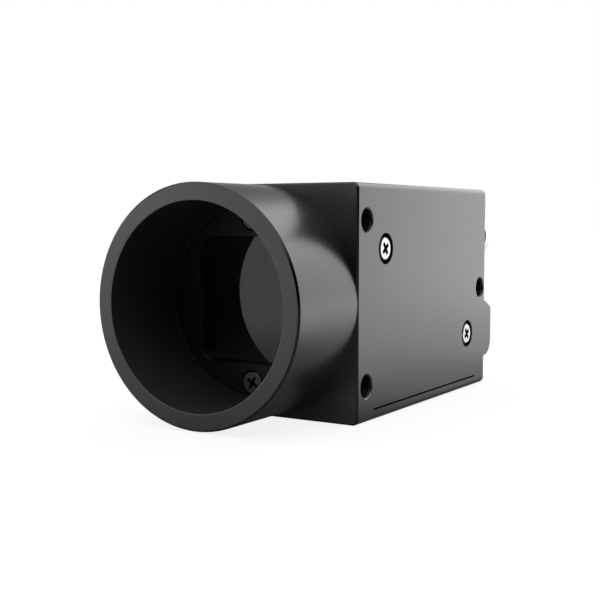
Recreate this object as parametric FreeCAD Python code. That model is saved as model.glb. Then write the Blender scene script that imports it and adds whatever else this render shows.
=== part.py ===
import FreeCAD
import Part
import math
import os

# Machine vision camera with a square body and a round lens tube.
# The origin is the centre of the lens seat, on the optical axis.
# The lens looks along -Y, +Z is up, and the body rests on its flat bottom.

# Outer body
BODY_WIDTH = 29.0
BODY_LENGTH = 40.0
TUBE_LENGTH = 13.0
TUBE_INSET = 0.1
LIP_CHAMFER = 0.1
LONG_EDGE_RADIUS = 0.8
FRONT_EDGE_CHAMFER = 0.2
FRONT_BLOCK_LENGTH = 4.17
REAR_BLOCK_LENGTH = 3.65

# Lens bore and the light path behind it
TUBE_WALL = 2.1
BORE_DEPTH = 12.1
FLANGE_FOCUS = 17.526
WINDOW_INSET = 4.3
WINDOW_CORNER = 2.3
APERTURE_THICKNESS = 1.45
APERTURE_SEAT_STEP = 0.4
APERTURE_PLAY = 0.1
APERTURE_SCREW_INSET = 2.0
FILTER_LAP = 1.0
FILTER_THICKNESS = 1.0
GASKET_THICKNESS = 0.35
GASKET_BORDER = 1.3
SENSOR_POCKET_STEP = 0.2
SENSOR_POCKET_CORNER = 1.0

# Cover, floor and the parts of the end blocks that reach inside them
WALL = 1.6
FLOOR_THICKNESS = 1.32
FLOOR_GAP = 0.2
FLOOR_STEP = 1.08
SPIGOT_LENGTH = 1.2
SPIGOT_WALL = 1.0
TONGUE_LENGTH = 0.8
TONGUE_NEAR = 3.0
TONGUE_FAR = 8.0
EAR_THICKNESS = 2.3
EAR_LENGTH = 4.8
EAR_HALF_HEIGHT = 2.0

# Side mounting holes, threaded
MOUNT_HOLE_RADIUS = 1.25
MOUNT_HOLE_DEPTH = 3.0
MOUNT_FRONT_SETBACK = 2.25
MOUNT_FRONT_OFFSET = 10.0
MOUNT_REAR_SETBACK = 1.9

# Screws: head radius, head height, shank radius
COVER_SCREW = (1.5, 1.0, 0.95)
COVER_SCREW_LENGTH = 3.2
COVER_SCREW_SINK = 0.1
COVER_COUNTERBORE_RADIUS = 1.9
COVER_SCREW_FRONT_SETBACK = 7.2
COVER_SCREW_REAR_SETBACK = 6.6
COVER_SCREW_INSET = 8.0
SMALL_SCREW = (1.45, 0.75, 0.75)
APERTURE_SCREW_LENGTH = 3.6
APERTURE_COUNTERBORE_RADIUS = 1.6
RECESS_WIDTH = 0.36
RECESS_DEPTH = 0.5
RECESS_SPAN = 1.3

# Boards and what stands between them
BOARD_THICKNESS = 1.2
BOARD_SIDE_ROOM = 2.5
BOARD_FLOOR_ROOM = 0.3
BOARD_HOLE_SIDE_MARGIN = 1.8
BOARD_HOLE_END_MARGIN = 1.6
PILLAR_RADIUS = 1.6
PILLAR_HOLE_DEPTH = 2.8
STUD_LENGTH = 3.6
FRONT_SPACER_LENGTH = 5.0
REAR_SPACER_LENGTH = 6.4
CONNECTOR_BOARD_SETBACK = 4.95
CONNECTOR_BOARD_SIDE_ROOM = 0.5
LINK_WIDTH = 10.0
LINK_HEIGHT = 3.0
LINK_EDGE_MARGIN = 5.2

# Blocks on the boards
CHIP_PILLAR_ROOM = 0.5
PROCESSOR_CHIP_Z = -3.0
PROCESSOR_CHIP_THICKNESS = 1.8
MEMORY_CHIP = (0, -4.0, 9.0, 11.0, 1.0)
DATA_CHIP = (0, -3.0, 8.0, 8.0, 1.0)
COIL_MIDDLE_GAP = 2.0
COIL_SCREW_ROOM = 0.15
COIL_HEIGHT = 3.0
COIL_EDGE_MARGIN = 5.3
CAPACITOR_RADIUS = 2.0
CAPACITOR_ROOM = 3.6
CAPACITOR_PITCH = 6.0
CAPACITOR_Z = 0.5

# Image sensor
PACKAGE_ROOM = 0.5
PACKAGE_FLOOR = 0.974
PACKAGE_WALL = 1.4
DIE_SIDE_ROOM = 0.8
DIE_END_ROOM = 1.8
DIE_THICKNESS = 0.7
DIE_RECESS = 0.626
SENSOR_WINDOW_INSET = 0.5
SENSOR_WINDOW_THICKNESS = 0.7

# Rear ledge and its data socket
LEDGE_DEPTH = 2.8
LEDGE_RISE = 4.1
LEDGE_HEIGHT = 8.3
LEDGE_BOTTOM_RADIUS = 2.3
LEDGE_SLOPE_DEPTH = 2.5
LEDGE_SLOPE_HEIGHT = 1.3
LEDGE_ROOT = 1.0
DATA_SOCKET_RISE = 3.8
DATA_SOCKET_WIDTH = 12.25
DATA_SOCKET_HEIGHT = 2.94
DATA_SOCKET_WALL = 0.3
DATA_SOCKET_CORNER = 0.6
DATA_SOCKET_SINK = 0.4
DATA_TONGUE_WIDTH = 9.2
DATA_TONGUE_HEIGHT = 0.8
DATA_TONGUE_SINK = 1.2
DATA_BLOCK_DEPTH = 4.0
LOCK_HOLE_OFFSET = 9.0
LOCK_HOLE_RADIUS = 0.8
LOCK_HOLE_DEPTH = 5.0

# Round power socket
POWER_SIDE_INSET = 4.7
POWER_TOP_INSET = 7.0
POWER_SHELL_RADIUS = 3.4
POWER_NECK_RADIUS = 2.9
POWER_REACH = 5.5
POWER_BORE_RADIUS = 2.75
POWER_BORE_DEPTH = 4.6
POWER_TAIL_LENGTH = 3.6
POWER_NUT_ACROSS_FLATS = 7.4
POWER_NUT_THICKNESS = 0.8
PIN_COUNT = 6
PIN_RADIUS = 0.3
PIN_CIRCLE_RADIUS = 1.6
PIN_LENGTH = 2.8

# Status light
LIGHT_SIDE_INSET = 4.9
LIGHT_TOP_INSET = 8.3
LIGHT_PIPE_RADIUS = 1.0
LIGHT_PIPE_PROUD = 0.2
LAMP_WIDTH = 1.6
LAMP_HEIGHT = 0.8

# Room left between pieces that slide into each other
FIT = 0.05

# Sides of the prisms that stand for shanks, pins and hidden round pieces
SMALL_SIDES = 8
HEXAGON = 6

# Widths that follow from the body's width
HALF = BODY_WIDTH / 2
TUBE_RADIUS = HALF - TUBE_INSET
BORE_RADIUS = TUBE_RADIUS - TUBE_WALL
APERTURE_SEAT_RADIUS = BORE_RADIUS - APERTURE_SEAT_STEP
APERTURE_SCREW_OFFSET = BORE_RADIUS - APERTURE_SCREW_INSET
WINDOW_HALF = BORE_RADIUS - WINDOW_INSET
FILTER_HALF = WINDOW_HALF + FILTER_LAP
GASKET_INNER_HALF = FILTER_HALF - GASKET_BORDER
SENSOR_POCKET_HALF = GASKET_INNER_HALF - SENSOR_POCKET_STEP
PACKAGE_HALF = SENSOR_POCKET_HALF - PACKAGE_ROOM
PACKAGE_WELL_HALF = PACKAGE_HALF - PACKAGE_WALL

# Stations along the optical axis
FRONT = TUBE_LENGTH
REAR = FRONT + BODY_LENGTH
COVER_FRONT = FRONT + FRONT_BLOCK_LENGTH
COVER_REAR = REAR - REAR_BLOCK_LENGTH
APERTURE_BACK = BORE_DEPTH + APERTURE_THICKNESS
FILTER_BACK = APERTURE_BACK + FILTER_THICKNESS
GASKET_BACK = FILTER_BACK + GASKET_THICKNESS
LEDGE_REAR = REAR + LEDGE_DEPTH
PACKAGE_FRONT = FLANGE_FOCUS - DIE_RECESS
SENSOR_BOARD_FRONT = FLANGE_FOCUS + DIE_THICKNESS + PACKAGE_FLOOR
SENSOR_BOARD_BACK = SENSOR_BOARD_FRONT + BOARD_THICKNESS
PROCESSOR_BOARD_FRONT = SENSOR_BOARD_BACK + FRONT_SPACER_LENGTH
PROCESSOR_BOARD_BACK = PROCESSOR_BOARD_FRONT + BOARD_THICKNESS
INTERFACE_BOARD_FRONT = PROCESSOR_BOARD_BACK + REAR_SPACER_LENGTH
INTERFACE_BOARD_BACK = INTERFACE_BOARD_FRONT + BOARD_THICKNESS
CONNECTOR_BOARD_BACK = COVER_REAR - CONNECTOR_BOARD_SETBACK
CONNECTOR_BOARD_FRONT = CONNECTOR_BOARD_BACK - BOARD_THICKNESS

# Heights and widths around the boards
BOTTOM = -HALF
FLOOR_EDGE_TOP = BOTTOM + FLOOR_THICKNESS
COVER_EDGE = FLOOR_EDGE_TOP + FLOOR_GAP
FLOOR_TOP = FLOOR_EDGE_TOP + FLOOR_STEP
INSIDE = HALF - WALL
BOARD_HALF_WIDTH = INSIDE - BOARD_SIDE_ROOM
BOARD_HALF_HEIGHT = -FLOOR_TOP - BOARD_FLOOR_ROOM
BOARD_HOLE_X = BOARD_HALF_WIDTH - BOARD_HOLE_SIDE_MARGIN
BOARD_HOLE_Z = BOARD_HALF_HEIGHT - BOARD_HOLE_END_MARGIN
CONNECTOR_BOARD_HALF_WIDTH = INSIDE - CONNECTOR_BOARD_SIDE_ROOM
LINK_PLACE_Z = BOARD_HALF_HEIGHT - LINK_EDGE_MARGIN
PROCESSOR_CHIP_WIDTH = 2 * (BOARD_HOLE_X - PILLAR_RADIUS - CHIP_PILLAR_ROOM)
COIL_REACH = BOARD_HOLE_X - SMALL_SCREW[0] - COIL_SCREW_ROOM
COIL_WIDTH = COIL_REACH - COIL_MIDDLE_GAP / 2
COIL_Z = COIL_EDGE_MARGIN - BOARD_HALF_HEIGHT
CAPACITOR_HEIGHT = CONNECTOR_BOARD_FRONT - INTERFACE_BOARD_BACK - CAPACITOR_ROOM
BOARD_HOLES = [(sx * BOARD_HOLE_X, sz * BOARD_HOLE_Z) for sx in (-1, 1) for sz in (-1, 1)]
POST_PLACES = [(x, z) for x, z in BOARD_HOLES if (x, z) != (BOARD_HOLE_X, BOARD_HOLE_Z)]

# Places of the cover screws, the ledge, the sockets and the status light
COVER_SCREW_HEIGHT = HALF - COVER_SCREW_INSET
COVER_SCREW_FRONT = (FRONT + COVER_SCREW_FRONT_SETBACK, COVER_SCREW_HEIGHT)
COVER_SCREW_REAR = (REAR - COVER_SCREW_REAR_SETBACK, -COVER_SCREW_HEIGHT)
LEDGE_BOTTOM = BOTTOM + LEDGE_RISE
LEDGE_TOP = LEDGE_BOTTOM + LEDGE_HEIGHT
DATA_SOCKET_Z = LEDGE_BOTTOM + DATA_SOCKET_RISE
POWER_X = HALF - POWER_SIDE_INSET
POWER_Z = HALF - POWER_TOP_INSET
LIGHT_X = LIGHT_SIDE_INSET - HALF
LIGHT_Z = HALF - LIGHT_TOP_INSET


def vec(x, y, z):
    return FreeCAD.Vector(x, y, z)


def box(xs, ys, zs):
    corner = vec(xs[0], ys[0], zs[0])
    return Part.makeBox(xs[1] - xs[0], ys[1] - ys[0], zs[1] - zs[0], corner)


def square(half, ys):
    return box((-half, half), ys, (-half, half))


def rod(radius, start, end):
    direction = end - start
    return Part.makeCylinder(radius, direction.Length, start, direction)


def pipe_y(radius, x, z, ys):
    return rod(radius, vec(x, ys[0], z), vec(x, ys[1], z))


def prism(sides, radius, start, end):
    # A regular prism between two points, with corners at the given radius
    direction = end - start
    upright = abs(direction.z) > direction.Length / 2
    first = vec(1, 0, 0) if upright else vec(0, 0, 1)
    second = direction.cross(first).normalize()
    corners = []
    for index in range(sides):
        angle = 2 * math.pi * index / sides
        corners.append(start + first * (radius * math.cos(angle)) + second * (radius * math.sin(angle)))
    outline = Part.makePolygon(corners + corners[:1])
    return Part.Face(outline).extrude(direction)


def small_rod(radius, start, end):
    return prism(SMALL_SIDES, radius, start, end)


def small_rod_y(radius, x, z, ys):
    return small_rod(radius, vec(x, ys[0], z), vec(x, ys[1], z))


def straight_edges(shape, axis):
    # Straight edges of the shape that run along one axis
    found = []
    for edge in shape.Edges:
        if isinstance(edge.Curve, Part.Line):
            if abs(abs(edge.Curve.Direction.dot(axis)) - 1) < 1e-6:
                found.append(edge)
    return found


def round_along_y(shape, radius):
    return shape.makeFillet(radius, straight_edges(shape, vec(0, 1, 0)))


def fused(shapes):
    return shapes[0].fuse(shapes[1:]).removeSplitter()


def mirrored(shape):
    return shape.mirror(vec(0, 0, 0), vec(1, 0, 0))


def save(name, shape):
    shape.exportStep("parts/" + name + ".step")


def cross_recess(top, inward, length):
    # Two crossed slots in a screw head, turned by 45 degrees about the screw's axis
    slots = []
    for turn in (45, 135):
        slot = Part.makeBox(length, RECESS_WIDTH, RECESS_DEPTH, vec(-length / 2, -RECESS_WIDTH / 2, 0))
        slot.rotate(vec(0, 0, 0), vec(0, 0, 1), turn)
        slots.append(slot)
    cutter = fused(slots)
    cutter.Placement = FreeCAD.Placement(top, FreeCAD.Rotation(vec(0, 0, 1), inward))
    return cutter


def screw(kind, top, inward, length):
    # A screw from the middle of its head's top, with its length measured under the head
    head_radius, head_height, shank_radius = kind
    seat = top + inward * head_height
    head = rod(head_radius, top, seat)
    head = head.cut(cross_recess(top, inward, head_radius * RECESS_SPAN))
    return fused([head, small_rod(shank_radius, seat, seat + inward * length)])


def hidden_screw(kind, top, inward, length):
    head_radius, head_height, shank_radius = kind
    seat = top + inward * head_height
    return fused([small_rod(head_radius, top, seat), small_rod(shank_radius, seat, seat + inward * length)])


def clear_hole(kind, seat, inward, depth):
    return small_rod(kind[2] + FIT, seat, seat + inward * depth)


def threaded_hole(kind, seat, inward, depth):
    return small_rod(kind[2], seat, seat + inward * depth)


def mounting_hole(mouth, inward):
    return rod(MOUNT_HOLE_RADIUS, mouth, mouth + inward * MOUNT_HOLE_DEPTH)


def mounting_holes(y, offsets):
    # The same row of holes on both sides and on the bottom
    holes = []
    for offset in offsets:
        holes.append(mounting_hole(vec(HALF, y, offset), vec(-1, 0, 0)))
        holes.append(mounting_hole(vec(-HALF, y, offset), vec(1, 0, 0)))
        holes.append(mounting_hole(vec(offset, y, BOTTOM), vec(0, 0, 1)))
    return holes


def spigot(ys):
    # The rim of an end block that fits inside the cover and over the floor
    outer = INSIDE - FIT
    low = FLOOR_TOP + FIT
    rim = box((-outer, outer), ys, (low, outer))
    inner = outer - SPIGOT_WALL
    return rim.cut(box((-inner, inner), ys, (low + SPIGOT_WALL, inner)))


def ear(ys, z):
    # A lug on the right that a cover screw bites into
    xs = (INSIDE - EAR_THICKNESS, INSIDE)
    return box(xs, ys, (z - EAR_HALF_HEIGHT, z + EAR_HALF_HEIGHT))


def ear_hole(place):
    return threaded_hole(COVER_SCREW, vec(INSIDE, place[0], place[1]), vec(-1, 0, 0), EAR_THICKNESS)


def tongues(ys, room):
    # Two short tongues on each end of the floor, or with room the grooves that take them
    zs = (FLOOR_EDGE_TOP - room, FLOOR_EDGE_TOP + TONGUE_LENGTH + room)
    right = box((TONGUE_NEAR - room, TONGUE_FAR + room), ys, zs)
    return [right, mirrored(right)]


# Front housing: tube, block, bore and seats, turned and milled from one bar
def front_housing():
    block = round_along_y(square(HALF, (FRONT, COVER_FRONT)), LONG_EDGE_RADIUS)
    front_edges = [e for e in block.Edges if all(abs(v.Y - FRONT) < 1e-6 for v in e.Vertexes)]
    block = block.makeChamfer(FRONT_EDGE_CHAMFER, front_edges)
    tube = pipe_y(TUBE_RADIUS, 0, 0, (0, COVER_FRONT))
    lip_edges = [e for e in tube.Edges if len(e.Vertexes) == 1 and abs(e.Vertexes[0].Y) < 1e-6]
    tube = tube.makeChamfer(LIP_CHAMFER, lip_edges)
    ear_ys = (COVER_FRONT, COVER_FRONT + EAR_LENGTH)
    lug = ear(ear_ys, COVER_SCREW_FRONT[1])
    lug = lug.cut(ear_hole(COVER_SCREW_FRONT))
    pillar_ys = (COVER_FRONT, SENSOR_BOARD_FRONT)
    pillars = [small_rod_y(PILLAR_RADIUS, x, z, pillar_ys) for x, z in BOARD_HOLES]
    rim = spigot((COVER_FRONT, COVER_FRONT + SPIGOT_LENGTH))
    body = fused([block, tube, lug, mirrored(lug), rim] + pillars)

    bore = pipe_y(BORE_RADIUS, 0, 0, (0, BORE_DEPTH))
    aperture_seat = pipe_y(APERTURE_SEAT_RADIUS, 0, 0, (BORE_DEPTH, APERTURE_BACK))
    filter_seat = square(FILTER_HALF + FIT, (APERTURE_BACK, GASKET_BACK))
    light_way = square(SENSOR_POCKET_HALF, (GASKET_BACK, COVER_FRONT))
    cuts = [bore, aperture_seat, filter_seat, round_along_y(light_way, SENSOR_POCKET_CORNER)]
    for z in (-APERTURE_SCREW_OFFSET, APERTURE_SCREW_OFFSET):
        depth = APERTURE_SCREW_LENGTH - APERTURE_THICKNESS + SMALL_SCREW[1]
        cuts.append(threaded_hole(SMALL_SCREW, vec(0, APERTURE_BACK, z), vec(0, 1, 0), depth))
    for x, z in BOARD_HOLES:
        seat = vec(x, SENSOR_BOARD_FRONT, z)
        cuts.append(threaded_hole(SMALL_SCREW, seat, vec(0, -1, 0), PILLAR_HOLE_DEPTH))
    offsets = (-MOUNT_FRONT_OFFSET, MOUNT_FRONT_OFFSET)
    cuts += mounting_holes(FRONT + MOUNT_FRONT_SETBACK, offsets)
    cuts += tongues((COVER_FRONT - TONGUE_LENGTH - FIT, COVER_FRONT), FIT)
    return body.cut(cuts)


# Aperture plate: a disc with the window, seated at the bottom of the bore
def aperture_plate():
    disc = pipe_y(APERTURE_SEAT_RADIUS - APERTURE_PLAY, 0, 0, (BORE_DEPTH, APERTURE_BACK))
    window = round_along_y(square(WINDOW_HALF, (BORE_DEPTH, APERTURE_BACK)), WINDOW_CORNER)
    cuts = [window]
    for z in (-APERTURE_SCREW_OFFSET, APERTURE_SCREW_OFFSET):
        sink = BORE_DEPTH + SMALL_SCREW[1]
        cuts.append(pipe_y(APERTURE_COUNTERBORE_RADIUS, 0, z, (BORE_DEPTH, sink)))
        cuts.append(small_rod_y(SMALL_SCREW[2] + FIT, 0, z, (sink, APERTURE_BACK)))
    return disc.cut(cuts)


def aperture_screws():
    tops = [vec(0, BORE_DEPTH, z) for z in (-APERTURE_SCREW_OFFSET, APERTURE_SCREW_OFFSET)]
    screws = [screw(SMALL_SCREW, top, vec(0, 1, 0), APERTURE_SCREW_LENGTH - 2 * FIT) for top in tops]
    return Part.makeCompound(screws)


# Filter: a square glass pressed on a foam frame by the aperture plate
def filter_glass():
    return square(FILTER_HALF, (APERTURE_BACK, FILTER_BACK))


def filter_gasket():
    frame = square(FILTER_HALF, (FILTER_BACK, GASKET_BACK))
    return frame.cut(square(GASKET_INNER_HALF, (FILTER_BACK, GASKET_BACK)))


# Image sensor: ceramic tray, silicon die in the focal plane, sealed by a thin glass
def image_sensor():
    tray = square(PACKAGE_HALF, (PACKAGE_FRONT, SENSOR_BOARD_FRONT))
    well = square(PACKAGE_WELL_HALF, (PACKAGE_FRONT, FLANGE_FOCUS + DIE_THICKNESS))
    return tray.cut(well)


def sensor_die():
    half_width = PACKAGE_WELL_HALF - DIE_SIDE_ROOM
    half_height = PACKAGE_WELL_HALF - DIE_END_ROOM
    ys = (FLANGE_FOCUS, FLANGE_FOCUS + DIE_THICKNESS)
    return box((-half_width, half_width), ys, (-half_height, half_height))


def sensor_window():
    ys = (PACKAGE_FRONT - SENSOR_WINDOW_THICKNESS, PACKAGE_FRONT)
    return square(PACKAGE_HALF - SENSOR_WINDOW_INSET, ys)


# Boards: plain rectangles with a screw hole in each corner
def board(front, half_width, places):
    ys = (front, front + BOARD_THICKNESS)
    plate = box((-half_width, half_width), ys, (-BOARD_HALF_HEIGHT, BOARD_HALF_HEIGHT))
    return plate.cut([small_rod_y(SMALL_SCREW[2] + FIT, x, z, ys) for x, z in places])


def chip(x, z, width, height, ys):
    return box((x - width / 2, x + width / 2), ys, (z - height / 2, z + height / 2))


def link_halves(ys):
    # Plug and socket that meet half way between two boards
    middle = (ys[0] + ys[1]) / 2
    plug = chip(0, LINK_PLACE_Z, LINK_WIDTH, LINK_HEIGHT, (ys[0], middle))
    socket = chip(0, LINK_PLACE_Z, LINK_WIDTH, LINK_HEIGHT, (middle, ys[1]))
    return plug, socket


# Spacer: a hexagon pillar with a stud at the front and a threaded hole behind
def spacer(x, z, ys):
    start = vec(x, ys[0], z)
    end = vec(x, ys[1], z)
    pillar = prism(HEXAGON, PILLAR_RADIUS, start, end)
    stud = small_rod_y(SMALL_SCREW[2], x, z, (ys[0] - STUD_LENGTH, ys[0]))
    return fused([pillar, stud]).cut(threaded_hole(SMALL_SCREW, end, vec(0, -1, 0), PILLAR_HOLE_DEPTH))


def spacers(ys):
    return Part.makeCompound([spacer(x, z, ys) for x, z in BOARD_HOLES])


def small_screws(places, top_y, inward):
    tops = [vec(x, top_y, z) for x, z in places]
    length = PILLAR_HOLE_DEPTH + BOARD_THICKNESS - 2 * FIT
    return Part.makeCompound([hidden_screw(SMALL_SCREW, top, inward, length) for top in tops])


# Cover: top and both sides in one bent shell, with counterbores for its four screws
def housing_cover():
    ys = (COVER_FRONT, COVER_REAR)
    outer = round_along_y(square(HALF, ys), LONG_EDGE_RADIUS)
    below = box((-HALF, HALF), ys, (BOTTOM, COVER_EDGE))
    inner = box((-INSIDE, INSIDE), ys, (BOTTOM, INSIDE))
    cuts = [below, inner]
    for place in (COVER_SCREW_FRONT, COVER_SCREW_REAR):
        depth = COVER_SCREW[1] + COVER_SCREW_SINK
        for side in (-1, 1):
            face = vec(side * HALF, place[0], place[1])
            inward = vec(-side, 0, 0)
            cuts.append(rod(COVER_COUNTERBORE_RADIUS, face, face + inward * depth))
            cuts.append(clear_hole(COVER_SCREW, face, inward, WALL))
    return outer.cut(cuts)


def cover_screws(place):
    screws = []
    for side in (-1, 1):
        top = vec(side * (HALF - COVER_SCREW_SINK), place[0], place[1])
        screws.append(screw(COVER_SCREW, top, vec(-side, 0, 0), COVER_SCREW_LENGTH - COVER_SCREW[1]))
    return Part.makeCompound(screws)


# Floor: a thick plate with a raised middle, held at both ends by its tongues
def floor_plate():
    ys = (COVER_FRONT, COVER_REAR)
    slab = round_along_y(square(HALF, ys), LONG_EDGE_RADIUS)
    slab = slab.common(box((-HALF, HALF), ys, (BOTTOM, FLOOR_EDGE_TOP)))
    inner = INSIDE - FIT
    step = box((-inner, inner), ys, (FLOOR_EDGE_TOP, FLOOR_TOP))
    front_tongues = tongues((COVER_FRONT - TONGUE_LENGTH, COVER_FRONT), 0)
    rear_tongues = tongues((COVER_REAR, COVER_REAR + TONGUE_LENGTH), 0)
    return fused([slab, step] + front_tongues + rear_tongues)


# Rear housing: end block with the rounded ledge that carries the data socket
def ledge():
    centre_y = LEDGE_REAR - LEDGE_BOTTOM_RADIUS
    centre_z = LEDGE_BOTTOM + LEDGE_BOTTOM_RADIUS
    diagonal = LEDGE_BOTTOM_RADIUS * math.sqrt(0.5)
    inside = REAR - LEDGE_ROOT
    foot = vec(-HALF, inside, LEDGE_BOTTOM)
    arc_start = vec(-HALF, centre_y, LEDGE_BOTTOM)
    arc_middle = vec(-HALF, centre_y + diagonal, centre_z - diagonal)
    arc_end = vec(-HALF, LEDGE_REAR, centre_z)
    slope_start = vec(-HALF, LEDGE_REAR, LEDGE_TOP - LEDGE_SLOPE_HEIGHT)
    slope_end = vec(-HALF, LEDGE_REAR - LEDGE_SLOPE_DEPTH, LEDGE_TOP)
    head = vec(-HALF, inside, LEDGE_TOP)
    edges = [
        Part.LineSegment(foot, arc_start).toShape(),
        Part.Arc(arc_start, arc_middle, arc_end).toShape(),
        Part.LineSegment(arc_end, slope_start).toShape(),
        Part.LineSegment(slope_start, slope_end).toShape(),
        Part.LineSegment(slope_end, head).toShape(),
        Part.LineSegment(head, foot).toShape(),
    ]
    return Part.Face(Part.Wire(edges)).extrude(vec(BODY_WIDTH, 0, 0))


def data_box(width, height, ys):
    return chip(0, DATA_SOCKET_Z, width, height, ys)


def rear_housing():
    block = round_along_y(square(HALF, (COVER_REAR, REAR)), LONG_EDGE_RADIUS)
    lug = ear((COVER_REAR - EAR_LENGTH, COVER_REAR), COVER_SCREW_REAR[1])
    lug = lug.cut(ear_hole(COVER_SCREW_REAR))
    post_ys = (CONNECTOR_BOARD_BACK, COVER_REAR)
    posts = [small_rod_y(PILLAR_RADIUS, x, z, post_ys) for x, z in POST_PLACES]
    rim = spigot((COVER_REAR - SPIGOT_LENGTH, COVER_REAR))
    body = fused([block, ledge(), lug, mirrored(lug), rim] + posts)

    through = (CONNECTOR_BOARD_BACK, LEDGE_REAR)
    cuts = [
        data_box(DATA_SOCKET_WIDTH + 2 * FIT, DATA_SOCKET_HEIGHT + 2 * FIT, through),
        pipe_y(POWER_NECK_RADIUS + FIT, POWER_X, POWER_Z, through),
        pipe_y(LIGHT_PIPE_RADIUS + FIT, LIGHT_X, LIGHT_Z, through),
    ]
    for x in (-LOCK_HOLE_OFFSET, LOCK_HOLE_OFFSET):
        cuts.append(pipe_y(LOCK_HOLE_RADIUS, x, DATA_SOCKET_Z, (LEDGE_REAR - LOCK_HOLE_DEPTH, LEDGE_REAR)))
    for x, z in POST_PLACES:
        seat = vec(x, CONNECTOR_BOARD_BACK, z)
        cuts.append(threaded_hole(SMALL_SCREW, seat, vec(0, 1, 0), PILLAR_HOLE_DEPTH))
    cuts += mounting_holes(REAR - MOUNT_REAR_SETBACK, (0,))
    cuts += tongues((COVER_REAR, COVER_REAR + TONGUE_LENGTH + FIT), FIT)
    return body.cut(cuts)


# Data socket: a thin metal mouth around a contact tongue, standing on the connector board
def data_socket_shell():
    ys = (CONNECTOR_BOARD_BACK, LEDGE_REAR - DATA_SOCKET_SINK)
    mouth_ys = (ys[0] + DATA_BLOCK_DEPTH, ys[1])
    outer = round_along_y(data_box(DATA_SOCKET_WIDTH, DATA_SOCKET_HEIGHT, ys), DATA_SOCKET_CORNER)
    inner_width = DATA_SOCKET_WIDTH - 2 * DATA_SOCKET_WALL
    inner_height = DATA_SOCKET_HEIGHT - 2 * DATA_SOCKET_WALL
    return outer.cut(data_box(inner_width, inner_height, mouth_ys))


def data_socket_tongue():
    start = CONNECTOR_BOARD_BACK + DATA_BLOCK_DEPTH
    end = LEDGE_REAR - DATA_SOCKET_SINK - DATA_TONGUE_SINK
    return data_box(DATA_TONGUE_WIDTH, DATA_TONGUE_HEIGHT, (start, end))


# Power socket: round shell through the rear wall, ring nut, insert and six pins
def power_rod(radius, ys):
    return pipe_y(radius, POWER_X, POWER_Z, ys)


def power_socket_shell():
    mouth = REAR + POWER_REACH
    tail = COVER_REAR - POWER_TAIL_LENGTH
    step = REAR + POWER_NUT_THICKNESS
    shell = fused([
        power_rod(POWER_SHELL_RADIUS, (step, mouth)),
        power_rod(POWER_NECK_RADIUS, (tail, step)),
    ])
    return shell.cut(power_rod(POWER_BORE_RADIUS, (tail, mouth)))


def power_socket_nut():
    ys = (REAR, REAR + POWER_NUT_THICKNESS)
    corner_radius = POWER_NUT_ACROSS_FLATS / 2 / math.cos(math.pi / HEXAGON)
    start = vec(POWER_X, ys[0], POWER_Z)
    end = vec(POWER_X, ys[1], POWER_Z)
    return prism(HEXAGON, corner_radius, start, end).cut(power_rod(POWER_NECK_RADIUS, ys))


def pins(ys, radius):
    rods = []
    for index in range(PIN_COUNT):
        angle = 2 * math.pi * index / PIN_COUNT
        x = POWER_X + PIN_CIRCLE_RADIUS * math.cos(angle)
        z = POWER_Z + PIN_CIRCLE_RADIUS * math.sin(angle)
        rods.append(small_rod_y(radius, x, z, ys))
    return rods


def power_socket_insert():
    ys = (COVER_REAR - POWER_TAIL_LENGTH, REAR + POWER_REACH - POWER_BORE_DEPTH)
    return power_rod(POWER_BORE_RADIUS, ys).cut(pins(ys, PIN_RADIUS))


def power_socket_pins():
    face = REAR + POWER_REACH - POWER_BORE_DEPTH
    return Part.makeCompound(pins((CONNECTOR_BOARD_BACK, face + PIN_LENGTH), PIN_RADIUS))


# Status light: a lamp on the connector board and a clear rod through the rear wall
def status_lamp():
    ys = (CONNECTOR_BOARD_BACK, CONNECTOR_BOARD_BACK + LAMP_HEIGHT)
    return chip(LIGHT_X, LIGHT_Z, LAMP_WIDTH, LAMP_WIDTH, ys)


def status_light_pipe():
    ys = (CONNECTOR_BOARD_BACK + LAMP_HEIGHT, REAR + LIGHT_PIPE_PROUD)
    return pipe_y(LIGHT_PIPE_RADIUS, LIGHT_X, LIGHT_Z, ys)


# Parts soldered on the processor and interface boards
def block_behind(block, board_back):
    x, z, width, height, thickness = block
    return chip(x, z, width, height, (board_back, board_back + thickness))


def block_before(block, board_front):
    x, z, width, height, thickness = block
    return chip(x, z, width, height, (board_front - thickness, board_front))


def processor_chip():
    width = PROCESSOR_CHIP_WIDTH
    return block_behind((0, PROCESSOR_CHIP_Z, width, width, PROCESSOR_CHIP_THICKNESS), PROCESSOR_BOARD_BACK)


def power_coils():
    coils = []
    offset = (COIL_REACH + COIL_MIDDLE_GAP / 2) / 2
    for x in (-offset, offset):
        coils.append(block_behind((x, COIL_Z, COIL_WIDTH, COIL_WIDTH, COIL_HEIGHT), INTERFACE_BOARD_BACK))
    return Part.makeCompound(coils)


def capacitors():
    ys = (INTERFACE_BOARD_BACK, INTERFACE_BOARD_BACK + CAPACITOR_HEIGHT)
    places = (-CAPACITOR_PITCH, 0, CAPACITOR_PITCH)
    return Part.makeCompound([small_rod_y(CAPACITOR_RADIUS, x, CAPACITOR_Z, ys) for x in places])


os.makedirs("parts", exist_ok=True)

save("front_housing", front_housing())
save("aperture_plate", aperture_plate())
save("aperture_screws", aperture_screws())
save("filter_glass", filter_glass())
save("filter_gasket", filter_gasket())
save("image_sensor", image_sensor())
save("sensor_die", sensor_die())
save("sensor_window", sensor_window())

save("sensor_board", board(SENSOR_BOARD_FRONT, BOARD_HALF_WIDTH, BOARD_HOLES))
save("processor_board", board(PROCESSOR_BOARD_FRONT, BOARD_HALF_WIDTH, BOARD_HOLES))
save("interface_board", board(INTERFACE_BOARD_FRONT, BOARD_HALF_WIDTH, BOARD_HOLES))
save("connector_board", board(CONNECTOR_BOARD_FRONT, CONNECTOR_BOARD_HALF_WIDTH, POST_PLACES))

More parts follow.
